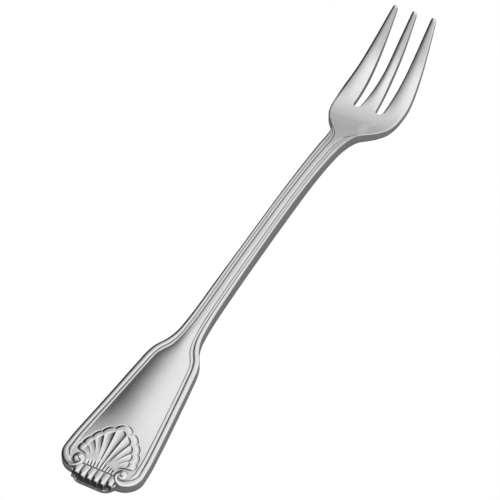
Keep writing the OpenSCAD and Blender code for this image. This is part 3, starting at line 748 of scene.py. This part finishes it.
# %% Sweep of a thread along its path
path_attributes = (
    ("across", "FLOAT_VECTOR"), ("half_width", "FLOAT"), ("rise", "FLOAT"), ("fall", "FLOAT"))
section_steps = (
    ("size x", "ABSOLUTE", "x", 0),
    ("size y", "ABSOLUTE", "y", 0),
    ("power x", "POWER", "size x", "Squareness"),
    ("power y", "POWER", "size y", "Squareness"),
    ("both powers", "ADD", "power x", "power y"),
    ("root", "DIVIDE", -1, "Squareness"),
    ("stretch", "POWER", "both powers", "root"),
    ("square x", "MULTIPLY", "x", "stretch"),
    ("square y", "MULTIPLY", "y", "stretch"),
    ("past crest", "SUBTRACT", "square x", "Crest"),
    ("whole side", "SUBTRACT", 1, "Crest"),
    ("from crest", "DIVIDE", "past crest", "whole side"),
    ("squared", "MULTIPLY", "from crest", "from crest"),
    ("fourth power", "MULTIPLY", "squared", "squared"),
    ("fallen", "MULTIPLY", "fourth power", "fall"),
    ("left over", "SUBTRACT", 1, "fallen"),
    ("above", "MULTIPLY", "square y", "left over"),
    ("least", "MULTIPLY", "square y", "Sunk share"),
    ("lifted", "MAXIMUM", "above", "least"),
    ("out", "MULTIPLY", "square x", "half_width"),
    ("up", "MULTIPLY", "lifted", "rise"))


def sweep_tree():
    """The tree that sweeps the section along a path. The steps above shape each point of it."""
    tree = bpy.data.node_groups.new("thread sweep", "GeometryNodeTree")
    tree.is_modifier = True
    for name, kind, start in (
            ("Path", "Geometry", None), ("Squareness", "Float", 6), ("Crest", "Float", 0.0),
            ("Sunk share", "Float", 0.25), ("Section points", "Int", 44), ("Steel", "Material", None)):
        socket = tree.interface.new_socket(name, in_out="INPUT", socket_type="NodeSocket" + kind)
        if start is not None:
            socket.default_value = start
    tree.interface.new_socket("Thread", in_out="OUTPUT", socket_type="NodeSocketGeometry")
    given = add(tree, "NodeGroupInput").outputs
    line = add(tree, "GeometryNodeMeshToCurve", {"Mesh": given["Path"]})
    on_path = add(tree, "GeometryNodeCaptureAttribute", {"Geometry": line.outputs["Curve"]})
    on_path.capture_items.new("VECTOR", "Centre")
    tree.links.new(add(tree, "GeometryNodeInputPosition").outputs[0], on_path.inputs["Centre"])
    circle = add(tree, "GeometryNodeCurvePrimitiveCircle", {
        "Resolution": given["Section points"], "Radius": 1.0})
    on_section = add(tree, "GeometryNodeCaptureAttribute", {"Geometry": circle.outputs["Curve"]})
    on_section.capture_items.new("VECTOR", "Round")
    tree.links.new(add(tree, "GeometryNodeInputPosition").outputs[0], on_section.inputs["Round"])
    swept = add(tree, "GeometryNodeCurveToMesh", {
        "Curve": on_path.outputs["Geometry"], "Profile Curve": on_section.outputs["Geometry"],
        "Fill Caps": True})
    circle_place = add(tree, "ShaderNodeSeparateXYZ", {0: on_section.outputs["Round"]})

    value = {"x": circle_place.outputs["X"], "y": circle_place.outputs["Y"]}
    value.update({name: given[name] for name in ("Squareness", "Crest", "Sunk share")})
    for name, kind in path_attributes:
        carried = add(tree, "GeometryNodeInputNamedAttribute", {"Name": name}, data_type=kind)
        value[name] = carried.outputs["Attribute"]
    for result, operation, a, b in section_steps:
        step = add(tree, "ShaderNodeMath", {0: value.get(a, a), 1: value.get(b, b)}, operation=operation)
        value[result] = step.outputs[0]

    sideways = add(tree, "ShaderNodeVectorMath", {
        0: value["across"], "Scale": value["out"]}, operation="SCALE")
    upward = add(tree, "ShaderNodeCombineXYZ", {"Z": value["up"]})
    offset = add(tree, "ShaderNodeVectorMath", {0: sideways.outputs[0], 1: upward.outputs[0]})
    where = add(tree, "ShaderNodeVectorMath", {0: on_path.outputs["Centre"], 1: offset.outputs[0]})
    moved = add(tree, "GeometryNodeSetPosition", {
        "Geometry": swept.outputs["Mesh"], "Position": where.outputs[0]})
    real = add(tree, "GeometryNodeRealizeInstances", {"Geometry": moved.outputs["Geometry"]})
    coated = add(tree, "GeometryNodeSetMaterial", {
        "Geometry": real.outputs["Geometry"], "Material": given["Steel"]})
    add(tree, "NodeGroupOutput", {"Thread": coated.outputs["Geometry"]})
    return tree


def made_by(tree, start_mesh, name, sharp=40, **inputs):
    """Runs a tree of Geometry Nodes on a mesh and returns the plain result."""
    carrier = bpy.data.objects.new(name, start_mesh)
    bpy.context.scene.collection.objects.link(carrier)
    modifier = carrier.modifiers.new("nodes", "NODES")
    modifier.node_group = tree
    for item in tree.interface.items_tree:
        if item.in_out == "INPUT" and item.name in inputs:
            modifier[item.identifier] = inputs[item.name]
    evaluated = carrier.evaluated_get(bpy.context.evaluated_depsgraph_get())
    mesh = bpy.data.meshes.new_from_object(evaluated)
    carrier.modifiers.clear()
    bpy.data.objects.remove(carrier)
    mesh.name = name
    return closed_and_smooth(mesh, sharp)


def path_mesh(points):
    """A line of (x, y, z, across x, across y, half width, rise, fall), in millimetres but for the fall."""
    rows_of = np.array(points, float)
    mesh = bpy.data.meshes.new("path")
    metres = (rows_of[:, :3] + (0, cad_low.y / MM, 0)) * MM
    mesh.from_pydata(metres.tolist(), [(i, i + 1) for i in range(len(points) - 1)], [])
    across = np.column_stack([rows_of[:, 3:5], np.zeros(len(points))])
    columns = (across.ravel(), rows_of[:, 5] * MM, rows_of[:, 6] * MM, rows_of[:, 7])
    for (name, kind), column in zip(path_attributes, columns):
        attribute = mesh.attributes.new(name, kind, "POINT")
        attribute.data.foreach_set("vector" if kind == "FLOAT_VECTOR" else "value", column)
    return mesh


thread_sweep = sweep_tree()

# %% [markdown]
# The outer moulding runs down from the head, round the corner and into a volute, all in one band.
# Two tables make the volute: at each turn about the eye it has a radius and a width.
# From the half turn on, the band is wide enough to cover the eye, which makes one smooth boss of it.
# Along the fork its width and fall change, and near the head it sinks a little and narrows to nothing.

# %% Path of the moulding and its volute
scroll_h, scroll_w, scroll_turn, scroll_rows, entry_rows = 0.75, 1.12, 450, 100, 6
turn_shares = [(0, 2.49), (20, 2.17), (45, 1.87), (65, 1.68), (90, 1.4), (120, 1.13), (150, 1.02), (180, 1),
               (225, 1), (270, 1.02), (315, 0.97), (360, 0.86), (405, 0.75), (450, 0.63)]
band_shares = [(0, 1.5), (10, 1.8), (20, 1.85), (45, 1.5), (65, 1.3), (90, 0.98), (120, 0.86), (150, 0.98),
               (180, 1.47), (270, 1.52), (360, 1.27), (405, 1.1), (450, 0.82)]
volute_rises, volute_falls = (0, 120), (120, 180)
lap, stem_lap = 0.01, 0.03
side_fall, stem_fall, end_fall = 0.2, 0.4, 0.14
band_end_share, band_end_l, thread_step = 0.85, 6, 0.3
sides = ("left", -1), ("right", 1)
thread_rows = sorted([
    *np.arange(corner_l, fine_l, fine_step), handle_l, *np.arange(fine_l, neck_y, stem_step),
    *np.arange(neck_y, head_y - thread_step, thread_step)])


def seat_z(y):
    """Height of the seat that the moulding and the thread stand on."""
    return float(top_z(np.float64(y))) - relief_h


def groove_lap(y):
    """How far the thread and the moulding reach over their groove."""
    return blend(lap, stem_lap, float(smooth(*shoulder, y)))


def band_rise(most, y):
    """Height of a band. It sinks a little towards the head, where the band ends."""
    return relief_h * min(most, band_end_share + (head_y - y) / band_end_l)


def volute_place(turn, reach):
    """Place on the volute at a turn and a distance from its eye, and the direction across the band."""
    a = -math.radians(turn)
    return scroll_x + reach * math.cos(a), scroll_y + reach * math.sin(a), math.cos(a), math.sin(a)


def side_path(side):
    """Path of a moulding from the head to the middle of its volute."""
    points = []
    for y in thread_rows[::-1]:
        w, x = float(half_w(y)), float(groove_x(y)) - groove_lap(y)
        fall = blend(end_fall, side_fall, float(smooth(*corner_stretch, y)))
        fall += (stem_fall - side_fall) * float(smooth(*shoulder, y) - smooth(*moulding_levels, y))
        points.append((side * (w + x) / 2, y, seat_z(y), side, 0, (w - x) / 2, band_rise(1, y), fall))
    for y in np.linspace(corner_l, scroll_y, entry_rows)[1:-1]:
        way = (corner_l - y) / (corner_l - scroll_y)
        w = blend(corner_border_w, scroll_w * band_shares[0][1], way ** 2) + lap
        points.append((side * (float(half_w(y)) - w / 2), y, seat_z(y), side, 0, w / 2, relief_h, end_fall))
    for turn in np.linspace(0, scroll_turn, scroll_rows):
        r, w = scroll_r * float(curve(turn_shares, turn)), scroll_w * float(curve(band_shares, turn))
        x, y, out_x, out_y = volute_place(turn, r - w / 2)
        rise = blend(relief_h, scroll_h, float(smooth(*volute_rises, turn)))
        fall = blend(end_fall, side_fall, float(smooth(*volute_falls, turn)))
        points.append((side * x, y, seat_z(y), side * out_x, out_y, w / 2, rise, fall))
    return points


for name, side in sides:
    mesh = made_by(thread_sweep, path_mesh(side_path(side)), name + "_moulding", Crest=-0.7, Steel=steel)
    finished(mesh, name + "_border", name + "_scroll")

# %% [markdown]
# The inner thread is nearly level on top, and along the stem it lies lower than the moulding. At its lower
# end it follows the moulding round and runs out beside the volute. It laps the moulding a little, so the
# groove between them is a shallow vee.

# %% Inner threads
bead_last_turn, bead_turn_rows = 34, 14
thread_share, stem_thread_drop, thread_end_share = 0.97, 0.34, 0.6
thread_fall = 0.12
thread_end_w, thread_end_taper, least_thread_w = 0.62 * corner_bead_w, 0.7, 0.05


def bead_path(side):
    """Path of a thread from the head to its end beside the volute."""
    points = []
    for y in thread_rows[::-1]:
        outer, inner = float(groove_x(y)) + groove_lap(y), float(panel_x(y))
        on_stem = float(smooth(*stem_begins, y) - smooth(*thread_ends, y))
        x, w = (outer + inner) / 2, outer - inner
        rise = band_rise(thread_share - stem_thread_drop * on_stem, y)
        points.append((side * x, y, seat_z(y), side, 0, w / 2, rise, thread_fall))
    for turn in np.linspace(0, bead_last_turn, bead_turn_rows):
        left_over = 1 - turn / bead_last_turn
        r = lap + scroll_r * float(curve(turn_shares, turn)) - scroll_w * float(curve(band_shares, turn))
        w = max(least_thread_w, thread_end_w * left_over ** thread_end_taper)
        x, y, out_x, out_y = volute_place(turn, r - w / 2)
        rise = relief_h * blend(thread_end_share, thread_share, left_over)
        points.append((side * x, y, seat_z(y), side * out_x, out_y, w / 2, rise, thread_fall))
    return points


for name, side in sides:
    mesh = made_by(thread_sweep, path_mesh(bead_path(side)), name + "_thread", Crest=-0.3, Steel=steel)
    finished(mesh, name + "_bead")

# %% [markdown]
# The shell fans out from the hinge, between the volutes. Its flutes are counted across by u and along by v.
# Each is a shallow scoop with a nearly level floor, walls that steepen towards its round end, and a narrow
# ridge on each side. Past their ends lies a rim with one scallop for each flute, which falls to the ground
# along its edge. A fine lip on the ground follows it and draws the light line on its left and the dark one
# on its right.

# %% Outline of the shell
flute_count = 9
half_flutes = flute_count / 2
shell_foot_w = 6.2
end_places = [(0, 0, 10.3), (1, 14.3, 9.3), (2, 28, 8.25), (3, 42, 7.3), (4, 57, 6.3), (4.5, 64, 6)]
rim_places = [(0, 0, 10.9), (0.5, 10.4, 10.57), (1.5, 25.5, 9.53), (2.5, 40, 8.48), (3.5, 55, 7.69),
              (4.5, 68, 7)]
scallop_h = [1.05, 0.6, 0.5, 0.42, 0.35]
end_round, scallop_fullness = 0.75, 0.97
print("the shell has", flute_count, "flutes")


def fan_place(places, u, extra):
    """Place at an angle and a radius from the shell's foot. The tables hold one side and are mirrored."""
    (u1, angle1, radius1), at = places[1], abs(u)
    angles, radii = ([(p[0], p[i]) for p in places] for i in (1, 2))
    angle = math.radians(float(curve([(-u1, -angle1)] + angles, at)) * (1 if u > 0 else -1))
    radius = float(curve([(-u1, radius1)] + radii, at)) + extra
    return np.array([radius * math.sin(angle), shell_y + radius * math.cos(angle)])


# %% Height of the shell
rim_h, rim_fall = 0.32, 1.4
rim_edge_w, rim_edge_share, inner_edge_share = 0.45, 0.5, 0.5
rim_first_places = (0.1, 0.5)
lip_h, lip_w, sunk_h, sunk_w = 0.055, 0.18, 0.1, 0.27
ridge_knots = [(0, 0.22), (0.12, 0.28), (0.45, 0.31), (0.75, 0.33), (1, rim_h)]
foot_wall_knots = [(0, 0.17), (0.06, 0.17), (0.11, 0.06), (0.16, 0), (0.3, 0), (1, 0)]
middle_wall_knots = [(0, 0), (0.1, 0), (0.2, 0.04), (0.6, 0.04), (0.8, 0), (1, 0)]
end_wall_knots = [(0, 0), (0.35, 0), (0.55, 0.02), (0.75, 0.065), (0.9, 0.085), (1, 0.09)]
middle_wall_loss, end_wall_loss = 5, 0.75
bend_across, outer_bend_across, bend_along, outer_bend_along = 0.3, 0.12, 0.5, 0.85
scoop_l = 0.3
flute_rows, rim_rows, flute_columns, row_gathering = 40, 12, 20, 1.5


def flute_depth(q, v, outer):
    """How far the floor of a flute lies below its ridges. Halfway along, only the inner ones have walls."""
    middle = float(curve(middle_wall_knots, v)) * max(0, 1 - middle_wall_loss * outer) ** 2
    end = float(curve(end_wall_knots, v)) * (1 - end_wall_loss * outer)
    wall = float(curve(foot_wall_knots, v)) + middle + end
    return max(0, wall) * (1 - 0.5 * q * q - 0.5 * q ** 4)


def shell_column(u, q):
    """Points up one line of the fan. The place across its own flute, q, goes from -1 to 1."""
    k = abs(round(u - q / 2))
    bow = math.sqrt(max(0, 1 - scallop_fullness * q * q))
    foot = np.array([shell_foot_w / flute_count * u, shell_y])
    end, rim = fan_place(end_places, u, end_round * (bow - 1)), fan_place(rim_places, u, scallop_h[k] * bow)
    outer = (u / half_flutes) ** 2
    bend = foot + (end - foot) * (blend(bend_across, outer_bend_across, outer),
                                  blend(bend_along, outer_bend_along, outer))
    length, rim_w = np.hypot(*(end - foot)), np.hypot(*(rim - end))
    points = []
    for v in 1 - (1 - np.linspace(0, 1, flute_rows)) ** row_gathering:
        x, y = foot * (1 - v) ** 2 + bend * 2 * v * (1 - v) + end * v * v
        scoop = 1 - max(0, 1 - (1 - v) * length / scoop_l) ** 2
        points.append((x, y, float(curve(ridge_knots, v)) - flute_depth(q, v, outer) * math.sqrt(scoop)))
    edge_w = rim_edge_w * blend(inner_edge_share, 1, min(1, 2 * outer))
    edge_from = 1 - min(rim_edge_share, edge_w / rim_w)
    edge_places = [blend(edge_from, 1, math.sin(a)) for a in np.linspace(0, math.pi / 2, rim_rows)]
    for s in [edge_from * share for share in rim_first_places] + edge_places:
        x, y = blend(end, rim, s)
        edge = max(0, (s - edge_from) / (1 - edge_from))
        points.append((x, y, rim_h * (1 - edge ** rim_fall)))
    outward = (rim - end) / rim_w
    points.append((*(rim + lip_w * outward), lip_h))
    return [(*foot, -sunk_h)] + points + [(*(rim + sunk_w * outward), -sunk_h)]


# %% The shell
shell = Skin()
shell_columns, grounds = [], []
for k in range(flute_count):
    for i in range(flute_columns + (k == flute_count - 1)):
        q = math.sin(math.pi / 2 * (2 * i / flute_columns - 1))
        column = shell_column(k - half_flutes + 0.5 + q / 2, q)
        ground = face_z(np.array([p[0] for p in column]), np.array([p[1] for p in column]))
        shell_columns.append([(x, y, float(g) + h) for (x, y, h), g in zip(column, ground)])
        grounds.append(ground)
column_ids = shell.loft(shell_columns)

# The two outer sides are strips from the first and last columns down into the ground.
for i in (0, -1):
    below = [(x, y, float(g) - sunk_h) for (x, y, z), g in zip(shell_columns[i], grounds[i])]
    below_ids = shell.loop(below[1:-1])
    shell.join([*column_ids[i][1:-1], column_ids[i][-1]], [*below_ids, column_ids[i][-1]], closed=False)
    shell.faces.append((*below_ids, column_ids[i][-1]))
finished(shell.mesh("scallop_shell", sharp=60), "shell")

# %% [markdown]
# A row of lobes, the gadroons, rolls over the end of the handle. All are one shape, so Geometry Nodes
# place copies of it on a row of points. Each point says how far its lobe reaches towards the end.

# %% One lobe
lobe_count, gadroons_w, gadroon_h, gadroon_y = 6, 9.36, 0.6, 3.5
gadroon_w, lobe_overlap = gadroons_w / lobe_count, 1.01
lobe_columns, roll_steps, tail_steps = 20, 24, 6
crown_h, front_crown_h, vee_h = 0.03, 0.8, 0.4
front_scallop, roll_l = 0.25, 1.65
vee_fullness, vee_sharpness = 0.99, 18
tail_r, foot_depth = 0.1, 0.1
roll_shares = [(0, 0.02), (0.11, 0.26), (0.22, 0.49), (0.32, 0.67), (0.44, 0.81), (0.66, 0.94), (1, 1)]


def lobe_mesh():
    """A lobe from y = 0 at its front to its upper end, resting on z = 0, which is the ledge."""
    lobe = Skin()
    loops = []
    top = seat_z(gadroon_y) - ledge_z + gadroon_h
    for i in range(lobe_columns + 1):
        q = math.sin(math.pi / 2 * (2 * i / lobe_columns - 1))
        vee = 1 - math.sqrt(1 - vee_fullness * q ** vee_sharpness)
        crest = top - crown_h * q * q - vee_h * vee
        front = front_scallop * vee
        section = []
        for s in np.linspace(0, 1, roll_steps):
            height = crest * min(1, float(curve(roll_shares, s)))
            section.append((front + roll_l * s, height - front_crown_h * q * q * s * (1 - s)))
        for a in np.radians(np.linspace(0, 90, tail_steps)):
            section.append((gadroon_y - tail_r + tail_r * math.sin(a), crest - tail_r * (1 - math.cos(a))))
        section += [(gadroon_y, -foot_depth), (front, -foot_depth)]
        loops.append([(q * lobe_overlap * gadroon_w / 2, y, z) for y, z in section])
    ends = lobe.loft(loops)
    lobe.faces += [tuple(ends[0]), tuple(ends[-1])]
    mesh = bpy.data.meshes.new("lobe")
    mesh.from_pydata((np.array(lobe.points) * MM).tolist(), [], lobe.faces)
    return mesh


def row_tree():
    """The tree that places copies of the lobe, stretched by each point's reach."""
    tree = bpy.data.node_groups.new("row of lobes", "GeometryNodeTree")
    tree.is_modifier = True
    for name, kind in (("Places", "Geometry"), ("Lobe", "Object"), ("Steel", "Material")):
        tree.interface.new_socket(name, in_out="INPUT", socket_type="NodeSocket" + kind)
    tree.interface.new_socket("Row", in_out="OUTPUT", socket_type="NodeSocketGeometry")
    given = add(tree, "NodeGroupInput").outputs
    points = add(tree, "GeometryNodeMeshToPoints", {"Mesh": given["Places"]})
    pattern = add(tree, "GeometryNodeObjectInfo", {"Object": given["Lobe"]})
    reach = add(tree, "GeometryNodeInputNamedAttribute", {"Name": "reach"}, data_type="FLOAT")
    size = add(tree, "ShaderNodeCombineXYZ", {"X": 1.0, "Y": reach.outputs["Attribute"], "Z": 1.0})
    placed = add(tree, "GeometryNodeInstanceOnPoints", {
        "Points": points.outputs["Points"], "Instance": pattern.outputs["Geometry"],
        "Scale": size.outputs[0]})
    real = add(tree, "GeometryNodeRealizeInstances", {"Geometry": placed.outputs["Instances"]})
    coated = add(tree, "GeometryNodeSetMaterial", {
        "Geometry": real.outputs["Geometry"], "Material": given["Steel"]})
    add(tree, "NodeGroupOutput", {"Row": coated.outputs["Geometry"]})
    return tree


# %% The row of lobes
pattern = bpy.data.objects.new("lobe pattern", lobe_mesh())
lobe_places, reaches = [], []
for k in range(lobe_count):
    x = (k - (lobe_count - 1) / 2) * gadroon_w
    past = max(0, abs(x) - lobe_x)
    front = lobe_r - math.sqrt(lobe_r ** 2 - past ** 2)
    lobe_places.append((x, front, ledge_z))
    reaches.append((gadroon_y - front) / gadroon_y)
places_mesh = bpy.data.meshes.new("lobe places")
places_mesh.from_pydata(((np.array(lobe_places) + (0, cad_low.y / MM, 0)) * MM).tolist(), [], [])
places_mesh.attributes.new("reach", "FLOAT", "POINT").data.foreach_set("value", reaches)
row = made_by(row_tree(), places_mesh, "gadroons", Lobe=pattern, Steel=steel)
bpy.data.objects.remove(pattern)
finished(row, *(f"gadroon_{k + 1}" for k in range(lobe_count)))

# %% [markdown]
# Between the lobes and the shell lies a thin rounded bar, swept like the threads.

# %% The bar at the hinge
bar_w, bar_y, bar_h, bar_points = 0.3, 3.65, 0.42, 20
bar = [(x, bar_y, seat_z(bar_y), 0, 1, bar_w / 2, bar_h, 0)
       for x in np.linspace(-shell_foot_w / 2, shell_foot_w / 2, bar_points)]
finished(made_by(thread_sweep, path_mesh(bar), "hinge_bar", Squareness=2.2, Steel=steel), "hinge")

# %% Picture settings
bpy.context.scene.view_settings.view_transform = "Standard"
